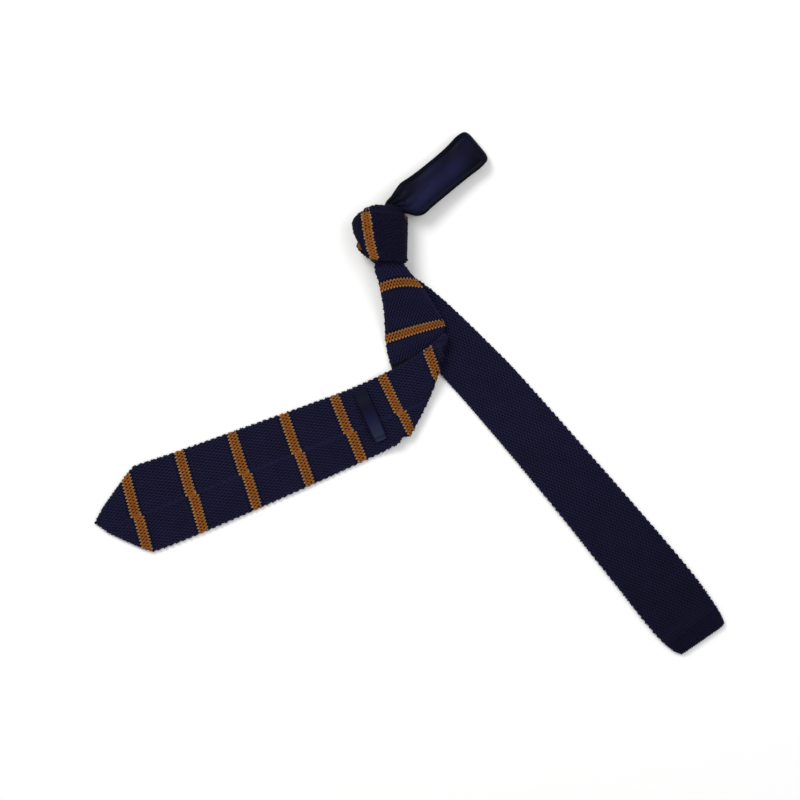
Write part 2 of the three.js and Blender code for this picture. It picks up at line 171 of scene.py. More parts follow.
class Graph:
    def __init__(self, name):
        self.material = bpy.data.materials.new(name)
        self.material.use_nodes = True
        self.tree = self.material.node_tree
        self.shader = self.tree.nodes["Principled BSDF"]

    def node(self, kind, settings=None, values=None, out=0):
        made = self.tree.nodes.new(kind)
        for key, value in (settings or {}).items():
            setattr(made, key, value)
        for key, value in (values or {}).items():
            self.feed(made.inputs[key], value)
        return Wire(self, made.outputs[out])

    def feed(self, socket, value):
        if isinstance(value, Wire):
            self.tree.links.new(value.socket, socket)
        else:
            socket.default_value = value

    def sine(self, value):
        return self.node("ShaderNodeMath", {"operation": "SINE"}, {0: value})

    def noise(self, place, scale, detail=2.0):
        return self.node("ShaderNodeTexNoise", values={"Vector": place, "Scale": scale, "Detail": detail})

    def mix(self, factor, one, two):
        values = {"Factor": factor, "A": one, "B": two}
        return self.node("ShaderNodeMix", {"data_type": "RGBA"}, values, "Result")

    def attribute(self, name):
        return self.node("ShaderNodeAttribute", {"attribute_name": name}, out=2)

    def place(self):
        return self.node("ShaderNodeTexCoord", out=3)

    def split(self, vector):
        first = self.node("ShaderNodeSeparateXYZ", values={0: vector})
        return first, Wire(self, first.socket.node.outputs[1])

    def bump(self, height, strength, distance):
        values = {"Height": height, "Strength": strength, "Distance": distance}
        self.feed(self.shader.inputs["Normal"], self.node("ShaderNodeBump", values=values))

    def finish(self, colour, roughness, specular):
        self.feed(self.shader.inputs["Base Color"], colour)
        self.feed(self.shader.inputs["Roughness"], roughness)
        self.shader.inputs["Specular IOR Level"].default_value = specular
        return self.material


print("shader arithmetic ready")

# %% [markdown]
# Yarn
#
# The yarn is a soft two-ply thread: its plies wind round each other, and loose fibres blur its edge. The tube
# that stands for it carries a map that runs along the thread and around it, so the winding is a slanted sine
# on that map. Along the winding each colour is mixed with a lighter copy of itself, which is painted shade in
# the grooves between the plies, and the fuzz varies that mix at random. The colour is an attribute of the
# mesh:
# 0 for navy, 1 for mustard, and up to 2 at the tips of the mustard loops, which stand proud between the navy
# ones and are painted pale as a highlight. Below 0 it is a darker navy: painted shade where the navy lies low
# beside a stripe, and a navy that is simply darker on the knot, on the hem and towards the narrow blade's
# end.

# %% Yarn material
NAVY = (0.0080, 0.0078, 0.0278, 1)
NAVY_LIGHT = (0.0175, 0.017, 0.054, 1)
MUSTARD = (0.20, 0.059, 0.007, 1)
MUSTARD_LIGHT = (0.36, 0.130, 0.026, 1)
# painted highlight: the pale colour of the proud tips of the mustard loops
TIP_HIGHLIGHT = (0.34, 0.225, 0.13, 1)
PLY_PITCH = 1.3
PLIES = 2
FUZZ_SCALE = 2600.0  # of noise, in waves to the metre
PATCH_SCALE = 90.0
PATCH_SHADES = (0.78, 1.18)  # whole patches of the cloth are this much darker or lighter
BELOW_NAVY = 0.6  # the share of its light that yarn with a colour value of -1 loses
# the ground's colours are painted shade: near-black, darker than the navy yarn it stands for
GROUND_DARK = (0.002, 0.002, 0.006, 1)
GROUND_LIGHT = (0.006, 0.006, 0.014, 1)
GROUND_SCALE = 1800.0


def yarn_material():
    graph = Graph("knit_yarn")
    along, around = graph.split(graph.node("ShaderNodeUVMap", {"uv_map": "thread"}))
    place = graph.place()
    winding = graph.sine(along * (2 * math.pi / PLY_PITCH) + around * (2 * math.pi * PLIES))
    fuzz = graph.noise(place, FUZZ_SCALE, 3.0)
    patches = graph.noise(place, PATCH_SCALE)
    clamped = {"operation": "MULTIPLY", "use_clamp": True}
    # along the ply winding each colour is mixed with a lighter copy: painted shade in the grooves between the
    # plies, and the fuzz varies it at random
    light = graph.node("ShaderNodeMath", clamped, {0: winding * 0.25 + fuzz, 1: 0.8})
    navy = graph.mix(light, NAVY, NAVY_LIGHT)
    mustard = graph.mix(light, MUSTARD, MUSTARD_LIGHT)
    low, high = PATCH_SHADES
    shade = graph.node("ShaderNodeMapRange", values={"Value": patches, "To Min": low, "To Max": high})
    # above 1 the mustard tips are mixed towards their painted highlight
    dye_and_painted_light = graph.attribute("mustard")
    colour = graph.mix(dye_and_painted_light - 1.0, graph.mix(dye_and_painted_light, navy, mustard), TIP_HIGHLIGHT)
    # below 0 the navy is darker: painted shade beside a stripe, and a plainly darker navy on the knot, hem
    # and tail end
    below = graph.node("ShaderNodeMath", {"operation": "MINIMUM"}, {0: dye_and_painted_light, 1: 0.0})
    shade = shade * (1.0 + BELOW_NAVY * below)
    shaded = graph.node("ShaderNodeVectorMath", {"operation": "SCALE"}, {0: colour, "Scale": shade})
    graph.bump(winding * 0.6 + fuzz, strength=0.5, distance=0.00015)
    return graph.finish(shaded, roughness=0.62 + 0.2 * fuzz, specular=0.05)


def ground_material():
    graph = Graph("knit_ground")
    fuzz = graph.noise(graph.place(), GROUND_SCALE)
    graph.bump(fuzz, strength=0.4, distance=0.0002)
    colour = graph.mix(fuzz, GROUND_DARK, GROUND_LIGHT)
    return graph.finish(colour, roughness=0.8 + 0.15 * fuzz, specular=0.1)


yarn = yarn_material()
ground = ground_material()
print("materials:", yarn.name, ground.name)

# %% [markdown]
# The ground of the knitting
#
# Behind its loops a knitted tube is closed by more yarn, which is only seen as darkness in the holes.
# Modelling it thread by thread would double the work for nothing, so each part gets a ground: a copy of its
# solid, shrunk by the depth of the yarn, and painted near-black, darker than the navy yarn, as the shade in
# the holes. At the edges it is shrunk less, or the table would show between the loops.

# %% Grounds
YARN_RADIUS = 0.54
YARN_DEPTH = 0.78  # middle of the yarn under the surface of the solid
GROUND_DEPTH = 1.2
EDGE_DEPTH = 0.2  # the same where the surface faces sideways
WELD = 1e-5  # metres; points of the solid that lie closer become one


def copy_of_node(node, name):
    piece = bpy.data.objects.new(name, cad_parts[node].data.copy())
    bpy.context.scene.collection.objects.link(piece)
    bpy.ops.object.select_all(action="DESELECT")
    piece.select_set(True)
    bpy.context.view_layer.objects.active = piece
    bpy.ops.object.mode_set(mode="EDIT")
    bpy.ops.mesh.select_all(action="SELECT")
    bpy.ops.mesh.remove_doubles(threshold=WELD)
    bpy.ops.object.mode_set(mode="OBJECT")
    return piece


def rows_of(piece, what):
    rows = np.zeros(len(piece.data.vertices) * 3)
    piece.data.vertices.foreach_get(what, rows)
    return rows.reshape(-1, 3)


def points_of(piece):
    return rows_of(piece, "co") / MM


def move_to(piece, points):
    piece.data.vertices.foreach_set("co", (points * MM).ravel())
    piece.data.update()


def shrink(piece):
    normals = rows_of(piece, "normal")
    sideways = 1 - normals[:, 2:] ** 2
    depth = GROUND_DEPTH + (EDGE_DEPTH - GROUND_DEPTH) * sideways
    move_to(piece, points_of(piece) - normals * depth)


def dress(piece, material, slot, *nodes):
    piece.data.materials.clear()
    piece.data.materials.append(material)
    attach(piece, "root")
    if nodes:
        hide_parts(*nodes)
    return piece


def make_ground(node, slot):
    piece = copy_of_node(node, node + "_ground")
    shrink(piece)
    bpy.ops.object.shade_smooth()
    return dress(piece, ground, slot, node)


knitted = ("wide_blade", "tail_blade", "knot_wrap", "knot_core")
grounds = {node: make_ground(node, "navy_knit") for node in knitted}
grounds["tail_hem"] = make_ground("tail_hem", "navy_hem")
print("grounds:", sorted(grounds))

# %% [markdown]
# Feeling for the surface
#
# A course of knitting is a line across the blade that follows every rise of the cloth under it. Each course
# is drawn in plan first, as a straight or slightly bowed line, and rays dropped on the solid find its height.
# Rays from below find the other side of the tube.

# %% Rays on the solids
RAY_START = 60
STEP = 0.25
JUMP = 1.7  # a rise between two rays that is an edge, and no slope
SHORTEST = 8  # points in the shortest stretch that is knitted


def tree_of(node):
    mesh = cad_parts[node].data
    points = [v.co / MM for v in mesh.vertices]
    return BVHTree.FromPolygons(points, [tuple(p.vertices) for p in mesh.polygons])


trees = {node: tree_of(node) for node in grounds}


def feel(tree, plan, side):
    """Heights and normals under the plan points, from above for side 1 and from below for side -1."""
    start = RAY_START * side
    points = np.full((len(plan), 3), np.nan)
    normals = np.full((len(plan), 3), np.nan)
    for i, (x, y) in enumerate(plan):
        place, normal, _, _ = tree.ray_cast(Vector((x, y, start)), Vector((0, 0, -side)))
        if place is not None:
            points[i] = place
            normals[i] = normal if normal.z * side > 0 else -normal
    return points, normals


def both_sides(node, plan):
    """Points and normals above and below the plan points, and which of them lie on the solid."""
    top, up = feel(trees[node], plan, 1)
    under, down = feel(trees[node], plan, -1)
    return top, up, under, down, ~np.isnan(top[:, 2])


def stretches(points, normals, keep):
    """The unbroken stretches of the points to keep, with their normals."""
    steep = np.abs(np.diff(points[:, 2])) > JUMP
    breaks = np.where((keep[1:] != keep[:-1]) | steep)[0] + 1
    parts = np.split(np.arange(len(points)), breaks)
    return [(points[part], normals[part]) for part in parts if keep[part[0]] and len(part) >= SHORTEST]


print("rays ready")

# %% [markdown]
# One course of yarn
#
# In each course the thread swings to and fro, once for each stitch, and the swings of two neighbouring
# courses hook into each other. A sine along the course gives the swing, a second one at twice its rate
# fattens the loops, and a third lifts one side of each loop over its neighbour. Neighbours are half a stitch
# apart, which leaves the staggered holes of the real cloth.

# %% Courses
COURSE_PITCH = 2.22
STITCH = 2.3
SWING = 0.66  # of the pitch, to either side
FATTEN = 0.12
LIFT = 0.16
CROSS = 0.2
PROUD = 0.32  # how far a mustard course stands out of the navy ones
WIDE_REACH = 0.98  # and how much further its loops swing
EDGE_OUT = 0.45  # how much further out all of a blade's yarn lies at its edges
EDGE_BUMP = 0.42  # two courses turn there together in one round bump, which stands out this far again
EDGE_SHIFT = 0.6  # they lie this much closer
EDGE_CALM = 0.85  # swing less
BULGE = 0.32  # and are thicker
TOP_STEPS = 8  # points in one stitch, on the side that shows and on the other
UNDER_STEPS = 5
SIDES = 4
FACING_UP = -0.2  # yarn whose normal has a z above this may be seen
SMOOTH_POINTS = 2
SMOOTH_NORMALS = 4


def smooth(values, reach, closed):
    """A moving average over the rows, which rounds off the facets of the solid."""
    if len(values) < 2 * reach + 2:
        return values
    padded = np.pad(values, ((reach, reach), (0, 0)), "wrap" if closed else "edge")
    kernel = np.ones(2 * reach + 1) / (2 * reach + 1)
    return np.stack([np.convolve(column, kernel, "valid") for column in padded.T], axis=1)


def unit(vectors):
    length = np.linalg.norm(vectors, axis=1, keepdims=True)
    return vectors / np.maximum(length, 1e-9)


def ahead_of(points, closed):
    """The way ahead at each point of a line."""
    ahead = np.roll(points, -1, axis=0) - np.roll(points, 1, axis=0)
    if not closed:
        ahead[0], ahead[-1] = points[1] - points[0], points[-1] - points[-2]
    return unit(ahead)


def run_length(points):
    """How far along its line each point lies."""
    return np.concatenate([[0], np.cumsum(np.linalg.norm(np.diff(points, axis=0), axis=1))])


def resampled(rows, at, length):
    return np.stack([np.interp(at, length, column) for column in rows.T], axis=1)


def even(points, normals, closed):
    """The same line with points at even distances, and its length."""
    if closed:
        points = np.vstack([points, points[:1]])
        normals = np.vstack([normals, normals[:1]])
    length = run_length(points)
    count = max(int(round(length[-1] / STEP)), 6)
    at = np.linspace(0, length[-1], count + 1)
    if closed:
        at = at[:-1]
    return resampled(points, at, length), resampled(normals, at, length), length[-1]


def paced(points, normals, length, closed, stitch, sizes):
    """The same line with the points that each stitch needs, and how many stitches lie before each point. The
    sizes of a closed course are its top's two halves, and of an open one how far on its middle lies."""
    count = len(points)
    station = np.arange(count) * (length / (count if closed else count - 1))
    if closed:
        whole = max(int(round(length / stitch)), 3)
        right, left = sizes
        to_right, to_left = right / stitch, whole - left / stitch
        turns = np.interp(station, [0, right, length - left, length], [0, to_right, to_left, whole])
        on_top = (turns < to_right) | (turns > to_left)
    else:
        turns = (station - sizes[0]) / stitch
        on_top = normals[:, 2] > FACING_UP
    steps = np.where(on_top, TOP_STEPS, UNDER_STEPS)
    density = np.concatenate([[0], np.cumsum(np.diff(turns) * steps[:-1])])
    if closed:
        density = np.append(density, density[-1] + (whole - turns[-1]) * TOP_STEPS)
        turns = np.append(turns, whole)
        points, normals = (np.vstack([rows, rows[:1]]) for rows in (points, normals))
        total = int(round(density[-1]))
        wanted = np.arange(total) * (density[-1] / total)
    else:
        total = max(int(round(density[-1])), 4)
        wanted = np.linspace(0, density[-1], total + 1)
    points, normals = resampled(points, wanted, density), unit(resampled(normals, wanted, density))
    return points, normals, np.interp(wanted, density, turns)


def swing(points, normals, closed, gauge, half_turn, sizes, onward, pair, proud):
    """The yarn's middle line, the way out of the cloth, its radius and its swing, from a course's line. Of
    two courses that share a bump at the edges, the first has a pair above 0 and the second one below."""
    stitch, pitch, thick = gauge
    points, normals, _ = even(points, normals, closed)
    points = smooth(points, SMOOTH_POINTS, closed)
    normals = unit(smooth(normals, SMOOTH_NORMALS, closed))
    sideways = 1 - normals[:, 2:] ** 2
    out_at_edge = abs(pair) * EDGE_BUMP + (EDGE_OUT if pair else 0)
    depth = YARN_DEPTH - proud * (1 - sideways) - out_at_edge * sideways
    points, normals, length = even(points - normals * depth, normals, closed)
    points, normals, turns = paced(points, unit(normals), length, closed, stitch, sizes)
    ahead = ahead_of(points, closed)
    across = unit(np.cross(normals, ahead))
    across *= np.sign(across @ onward)[:, None]
    angle = (2 * np.pi * turns + math.pi * half_turn)[:, None]
    wave = np.sin(angle)
    rise = LIFT * wave - CROSS * np.cos(2 * angle)
    edge = abs(pair) * (1 - normals[:, 2:] ** 2)
    reach = SWING * pitch * (WIDE_REACH if proud else 1)
    line = points + across * (wave * reach * (1 - EDGE_CALM * edge) + pair * EDGE_SHIFT * edge)
    line = line + ahead * np.sin(2 * angle) * FATTEN + normals * rise
    return line, normals, thick * (1 + BULGE * edge[:, 0]), wave[:, 0]


PLAIN = (STITCH, COURSE_PITCH, YARN_RADIUS)  # a gauge: a stitch's width and height, and the yarn's radius
print("stitch", STITCH, "pitch", COURSE_PITCH)

# %% [markdown]
# From lines to tubes
#
# A curve with a bevel makes a tube too, but thousands of them make a slow scene. The tubes are written
# straight into one mesh instead: a ring of points around each point of the line, joined to the next ring,
# with the map that runs along the thread.

# %% Tubes
class Yarns:
    def __init__(self):
        self.points, self.faces, self.corners, self.colours = [], [], [], []
        self.count = 0

    def add(self, line, normals, closed, colour, radius):
        line[:, 2] = np.maximum(line[:, 2], radius)  # nothing goes through the table
        ahead = ahead_of(line, closed)
        beside = unit(np.cross(ahead, normals))
        above = np.cross(beside, ahead)
        angles = (np.arange(SIDES) * 2 * np.pi / SIDES)[None, :, None]
        ring = above[:, None] * np.cos(angles) + beside[:, None] * np.sin(angles)
        n = len(line)
        rings = line[:, None] + ring * np.broadcast_to(radius, n)[:, None, None]
        here = np.arange(n if closed else n - 1)
        there = (here + 1) % n
        length = run_length(line)
        step = np.linalg.norm(line[0] - line[-1]) if closed else 0
        far = np.append(length, length[-1] + step)
        u0, u1 = far[here], far[here + 1]
        for side in range(SIDES):
            after = (side + 1) % SIDES
            spots = (here, side), (there, side), (there, after), (here, after)
            self.faces.append(np.stack([row * SIDES + k for row, k in spots], axis=1) + self.count)
            v0, v1 = (np.full(len(here), k / SIDES) for k in (side, side + 1))
            self.corners.append(np.stack([u0, v0, u1, v0, u1, v1, u0, v1], axis=1))
        if not closed:
            for cap in ((0, 1, 2, 3), [(n - 1) * SIDES + k for k in (3, 2, 1, 0)]):
                self.faces.append(np.array([cap]) + self.count)
                self.corners.append(np.zeros((1, 8)))
        self.points.append(rings.reshape(-1, 3))
        self.colours.append(np.repeat(np.broadcast_to(colour, n), SIDES))
        self.count += n * SIDES

    def make(self, name):
        points = np.concatenate(self.points) * MM
        faces = np.concatenate(self.faces)
        corners = np.concatenate(self.corners)
        mesh = bpy.data.meshes.new(name)
        mesh.vertices.add(len(points))
        mesh.vertices.foreach_set("co", points.ravel())
        mesh.loops.add(faces.size)
        mesh.loops.foreach_set("vertex_index", faces.ravel().astype(np.int32))
        mesh.polygons.add(len(faces))
        mesh.polygons.foreach_set("loop_start", (np.arange(len(faces)) * SIDES).astype(np.int32))
        mesh.update(calc_edges=True)
        layer = mesh.uv_layers.new(name="thread")
        layer.data.foreach_set("uv", corners.ravel())
        colour = mesh.attributes.new("mustard", "FLOAT", "POINT")
        colour.data.foreach_set("value", np.concatenate(self.colours).astype(np.float32))
        mesh.polygons.foreach_set("use_smooth", np.ones(len(faces), bool))
        mesh.update()
        piece = bpy.data.objects.new(name, mesh)
        bpy.context.scene.collection.objects.link(piece)
        print(name, 2 * len(faces), "triangles")
        return piece


print("tubes have", SIDES, "sides")

# %% [markdown]
# Where the courses lie on the wide blade
#
# The stripes are the ruler: from the middle course of one stripe to that of the next are eighteen courses.
# So a table of the stripes' places, chosen from the photograph, fixes every course of the blade: how far
# along it lies, how much it leans and how much it bows. Its folded-back part and its front part each have
# such a table, along their own directions.

# %% The stripes' places
COURSES_APART = 18

FOLD_MIDDLE = (28.1, -113.7)
BACK_HEADING = -158.4
BACK_STRIPES = (  # places along the blade, leans and bows
    (-57, -16.7, 17.5, 55.6, 94.6, 134.3, 174.5, 216.1, 257),
    (-0.02, 0.0, 0.10, 0.028, -0.016, -0.049, -0.078, -0.088, -0.1),
    (0,) * 9,
)

THROAT = (7.06, -22.6)
FRONT_HEADING = -77
FRONT_STRIPES = ((-24, 13.0, 48.5, 85, 121), (0.1, 0.12, -0.06, -0.3, -0.5), (1.3, 1.3, 0.14, 0, 0))

BOW_MIDDLE = 4  # across; bow is how far a course has bent away 10 mm from there
JOG = 1.7  # the tube was knitted round and round, so each course meets itself one step on, along a line
JOG_PLACE = (-7.4, -5.6)  # across the blade, where that line lies on the folded-back part
JOG_WIDTH = 60  # of the blade, over which the step is made good again
JOG_END = (222, 240)  # it ends before the point


class Run:
    """A stretch of a blade with its own heading, on which a course is a line of plan points."""

    def __init__(self, start, heading, hand, stripes=None, jog=0.0, bumps=((0,), (1,))):
        turn = math.radians(heading)
        self.start = np.array(start)
        self.ahead = np.array([math.cos(turn), math.sin(turn)])
        self.across = np.array([-math.sin(turn), math.cos(turn)]) * hand
        self.stripes = stripes
        self.jog = jog
        self.bumps = bumps

    def plan(self, along, lean, bow, across):
        out = along + lean * across + bow * ((across - BOW_MIDDLE) / 10) ** 2
        stepped = np.interp(across, JOG_PLACE, (-0.5, 0.5)) - across / JOG_WIDTH
        out = out + self.jog * stepped * np.interp(along, JOG_END, (1, 0))
        return self.start + out[:, None] * self.ahead + across[:, None] * self.across

    def local(self, points):
        off = points[:, :2] - self.start
        return off @ self.ahead, off @ self.across

    def course(self, number):
        at = number / COURSES_APART
        return [np.interp(at, range(len(column)), column) for column in self.stripes]


# The last table says how strongly the edges are bumped at a course: less at the front and the point.
back = Run(FOLD_MIDDLE, BACK_HEADING, -1, BACK_STRIPES, JOG, ((0, 122, 128), (1, 1, 0.3)))
front = Run(THROAT, FRONT_HEADING, 1, FRONT_STRIPES, 0, ((0,), (0.35,)))
print("back", back.course(36), "front", front.course(18))

# %% [markdown]
# Joining the two sides
#
# The rays give one line on top of the cloth and one beneath it. Where both end at the same edge they belong
# to one course, and they are joined there.

# %% Joined courses
EDGE_NEAR = 1.5  # ends that are nearer than this in plan, and than the next in height, meet at one edge
EDGE_REACH = 3.4
BESIDE_SHADE = -1.0  # painted shade on the navy loops that hook into a stripe, where the mustard stands proud


def meeting_ends(points, unders, used):
    """Which stretch beneath, and which of its ends, meets each end of a stretch on top."""
    ends = {}
    for side in (0, -1):
        for k, (under, _) in enumerate(unders):
            for other in (0, -1):
                off = points[side] - under[other]
                if k not in used and np.linalg.norm(off[:2]) < EDGE_NEAR and abs(off[2]) < EDGE_REACH:
                    ends[side] = (k, other)
    return ends


def joined(tops, unders):
    """Chains of (points, normals, closed) from stretches of the two sides."""
    chains = []
    used = set()
    for points, normals in tops:
        ends = meeting_ends(points, unders, used)
        used.update(k for k, _ in ends.values())
        closed = len(ends) == 2 and ends[0][0] == ends[-1][0]
        if closed:
            under, down = unders[ends[0][0]]
            points, normals = np.vstack([points, under[::-1]]), np.vstack([normals, down[::-1]])
            ends = {}
        for side, (k, other) in ends.items():
            way = -1 if other == side else 1
            under, down = (rows[::way] for rows in unders[k])
            order = slice(None, None, -1 if side else 1)  # what lies beneath goes before the first end
            points, normals = np.vstack([under, points][order]), np.vstack([down, normals][order])
        chains.append((points, normals, closed))
    chains += [(under, down, False) for k, (under, down) in enumerate(unders) if k not in used]
    return chains


def off_stripe(number):
    """How many courses a course lies after the middle one of its nearest stripe, negative if before it."""
    return (number + COURSES_APART // 2) % COURSES_APART - COURSES_APART // 2


def dye_and_painted_light(off, wave):
    """The colour of the yarn that many courses off a stripe's middle: 0 navy, 1 mustard, up to 2 a mustard
    tip among the navy, painted pale as a highlight, and below 0 navy painted darker as shade beside a stripe.
    A wave of 1 leans to later courses."""
    outer = np.clip(wave * off, 0, 1)
    if abs(off) <= 1:
        return 1 + outer ** 1.5
    if abs(off) == 2:
        return BESIDE_SHADE * np.clip(0.65 - wave * off / 3, 0, 1)
    return np.zeros(len(wave))


def add_courses(yarns, number, chains, run, gauge, plain=0.0):
    onward = np.array([*run.ahead, 0])
    striped = run.stripes and abs(off_stripe(number)) <= 1
    pair = np.interp(number, *run.bumps) * (-1 if number % 2 else 1)
    for points, normals, closed in chains:
        across = run.local(points)[1]
        length = run_length(points)
        up = np.where(normals[:, 2] > 0)[0]
        rows = up if len(up) else np.arange(len(points))
        middle = rows[np.argmin(np.abs(across[rows]))]
        if closed:
            sizes = (length[up[-1]] - length[middle], length[middle] - length[up[0]])
            points = np.roll(points, -middle, axis=0)
            normals = np.roll(normals, -middle, axis=0)
        else:
            sizes = (length[middle] - across[middle], 0)
        line, out, radius, wave = swing(
            points, normals, closed, gauge, number, sizes, onward, pair, PROUD if striped else 0)
        yarns.add(line, out, closed, dye_and_painted_light(off_stripe(number), wave) if run.stripes else plain, radius)


def knit(name, numbers, course, slot="navy_knit"):
    """A piece with a course of yarn for each number: its chains, run, gauge and, without stripes, colour
    value.
    """
    yarns = Yarns()
    for number in range(*numbers):
        add_courses(yarns, number, *course(number))
    return dress(yarns.make(name), yarn, slot)


print("ready to knit")

# %% [markdown]
# The folded-back part
#
# This is the part that shows most: the inside of the fold has turned up, and its courses run across from edge
# to edge. Near the fold it lies on the front part, so it has no courses of its own beneath.

# %% Knit the folded-back part
BACK_SPAN = np.arange(-38, 30, STEP)  # places across the blade where its courses are felt for
BACK_EDGE = 25.5  # a stretch whose middle lies further across is the front part
TWO_LAYERS = 5  # the solid is this thick where the folded-back part lies on the front part
FOLD_END = 10  # along; the folded-back part has no courses beneath before it


def back_course(number):
    along, lean, bow = back.course(number)
    top, up, under, down, hit = both_sides("wide_blade", back.plan(along, lean, bow, BACK_SPAN))
    tops = [run for run in stretches(top, up, hit) if np.median(back.local(run[0])[1]) < BACK_EDGE]
    single = hit & (top[:, 2] - under[:, 2] < TWO_LAYERS)
    unders = [] if along < FOLD_END else stretches(under, down, single)
    return joined(tops, unders), back, PLAIN


blade_pieces = [
    knit("wide_blade_fold_courses", (8, 74), back_course),
    knit("wide_blade_point_courses", (74, 146), back_course),
]

# %% [markdown]
# The front part
#
# From the knot the blade opens out of its gathers, so its stitches are narrow at first. Its courses end where
# the folded-back part covers them, but beneath they run on to the fold. When it has been knitted, its right
# edge is drawn out beside the knot and its left edge is let out below it, as the cloth has settled.

# %% Knit the front part
FRONT_SPAN = np.arange(-34, 52, STEP)
COVER = 26.3  # across the folded-back part; only what lies beyond is seen from above
FRONT_MIDDLE = 5  # a stretch beneath that passes here is the front part's own
FRONT_STITCHES = 20  # in a course, if their width then keeps these limits
STITCH_LIMITS = (2.2, 2.5)
FRONT_PITCH = 2.04
TIGHT_PITCH = 1.6  # for the loops of mustard courses that are pulled tight, here and on the knot
FRONT_RADIUS = 0.53
THROAT_PULL = 2.8  # how far its right edge is drawn out
THROAT_REACH = ((7, 15), (0, 1))  # the share of that at places x
THROAT_SPAN = (-22.5, 5.5)  # y of the middle of the drawn-out stretch, and half its length
SLACK = 0.9  # how far its left edge is let out
SLACK_EDGE = ((-84, -22), (5.5, -3))  # x of that edge at heights y
SLACK_REACH = ((0, 12), (1, 0))
SLACK_SPAN = ((-98, -84, -73, -67, -38, -28, -24, -19), (0, 1.4, 1.6, 0.8, 0.5, 1.1, 1.2, 0))


def hump(value, middle, width):
    return np.exp(-(((value - middle) / width) ** 2))


def front_course(number):
    plan = front.plan(*front.course(number), FRONT_SPAN)
    top, up, under, down, hit = both_sides("wide_blade", plan)
    tops = stretches(top, up, hit & (back.local(plan)[1] > COVER))
    unders = []
    for run in stretches(under, down, hit):
        across = front.local(run[0])[1]
        if across.min() < FRONT_MIDDLE < across.max():
            unders.append(run)
    chains = joined(tops, unders)
    width = max([len(chain[0]) for chain in chains], default=0) * STEP / 2
    stitch = np.clip(width / FRONT_STITCHES, *STITCH_LIMITS)
    pitch = TIGHT_PITCH if abs(off_stripe(number)) <= 1 else FRONT_PITCH
    return chains, front, (stitch, pitch, FRONT_RADIUS)


def settle(piece):
    points = points_of(piece)
    x, y = points.T[:2]  # what is done to these is done to the points
    x -= SLACK * np.interp(x - np.interp(y, *SLACK_EDGE), *SLACK_REACH) * np.interp(y, *SLACK_SPAN)
    x += THROAT_PULL * np.interp(x, *THROAT_REACH) * hump(y, *THROAT_SPAN)
    move_to(piece, points)


blade_pieces.append(knit("wide_blade_front_courses", (9, 68), front_course))
settle(blade_pieces[-1])
settle(grounds["wide_blade"])

# %% [markdown]
# The narrow blade
#
# The narrow blade is plain navy, and its courses lie square to it at an even pitch.

# %% Knit the narrow blade
TAIL_START = (6.6, -25.4)
TAIL_HEADING = -49
TAIL_LEAN = ((290, 331, 341), (0, 0.06, 0.105))  # its square end is drawn a little askew
TAIL_DARK = ((160, 331), (0, -0.5))  # and it grows a little darker towards it
TAIL_SPAN = np.arange(-30, 32, STEP)
TAIL_COURSES = 149
tail = Run(TAIL_START, TAIL_HEADING, 1, bumps=((0, 45, 80), (0.5, 0.5, 0.9)))


def tail_chains(node, along):
    plan = tail.plan(along, np.interp(along, *TAIL_LEAN), 0, TAIL_SPAN)
    top, up, under, down, hit = both_sides(node, plan)
    return joined(stretches(top, up, hit), stretches(under, down, hit))


def tail_course(number):
    at = number * COURSE_PITCH
    return tail_chains("tail_blade", at), tail, PLAIN, np.interp(at, *TAIL_DARK)


tail_pieces = [
    knit("tail_upper_courses", (2, 78), tail_course),
    knit("tail_lower_courses", (78, TAIL_COURSES), tail_course),
]

# %% [markdown]
# The hem of the narrow blade
#
# The square end is turned in and sewn, so it is smoother and closer than the rest: lower stitches of the same
# yarn, drawn tight. It is knitted as the blade is, with a finer gauge. The two dark grounds are drawn out to
# meet under the seam, or the table would show through it. The end has stretched a little, drifted to the left
# and lost its right corner in handling.

# %% Knit the hem
HEM_GAUGE = (1.55, 1.32, 0.42)
HEM_DARK = -0.65
HEM_TUCK = 0.3  # how many courses before the seam the hem starts
SEAM = TAIL_COURSES * COURSE_PITCH
HEM_STOP = SEAM + 14  # where the blade ends
HEM_STRETCH = 1.3
HEM_ASIDE = 1.3
CORNER = (11, 8, 0.06)  # where its right corner starts, how wide it is, and how strongly it is drawn in


def hem_course(number):
    at = (TAIL_COURSES - HEM_TUCK) * COURSE_PITCH + number * HEM_GAUGE[1]
    return tail_chains("tail_hem", at), tail, HEM_GAUGE, HEM_DARK


def draw_out(piece, places, moves, corner=0.0):
    """Moves points along the narrow blade by what a table says for their place, and its end to the left."""
    points = points_of(piece)
    along, across = tail.local(points)
    start, reach, _ = CORNER
    by = np.interp(along, places, moves)
    by -= corner * np.clip(across - start, 0, reach) ** 2 * np.interp(along, (SEAM + 4, HEM_STOP), (0, 1))
    aside = HEM_ASIDE * np.interp(along, (SEAM - 20, HEM_STOP), (0, 1))
    points[:, :2] += by[:, None] * tail.ahead - aside[:, None] * tail.across
    move_to(piece, points)


hem_courses = knit("tail_hem_courses", (-1, 14), hem_course, "navy_hem")
draw_out(tail_pieces[1], (SEAM, HEM_STOP), (0, 0))
draw_out(grounds["tail_blade"], (SEAM - 6, SEAM), (0, 1.5))
draw_out(grounds["tail_hem"], (SEAM, SEAM + 6, HEM_STOP), (-1.5, 0, HEM_STRETCH), CORNER[2])
draw_out(hem_courses, (SEAM, HEM_STOP), (0, HEM_STRETCH), CORNER[2])

# %% [markdown]
# Courses round the knot
#
# A turn of the knot is a cuff, so its courses stand upright, side by side round it. Rays towards the knot's
# axis feel its surface level by level, each level is measured round, and each course stands at its own share
# of that girth. At both rims a course curls in over the edge.

# %% Upright courses
LEVEL_STEP = 0.4
TURN_STEP = 3  # degrees between two rays
KNOT_REACH = 45
FEWEST_RAYS = 6  # a level that fewer of them meet is left out
RIM_CURL = ((0.0, 0.6), (0.1, 1.5), (-0.3, 2.5))  # further out along the knot and in towards its axis


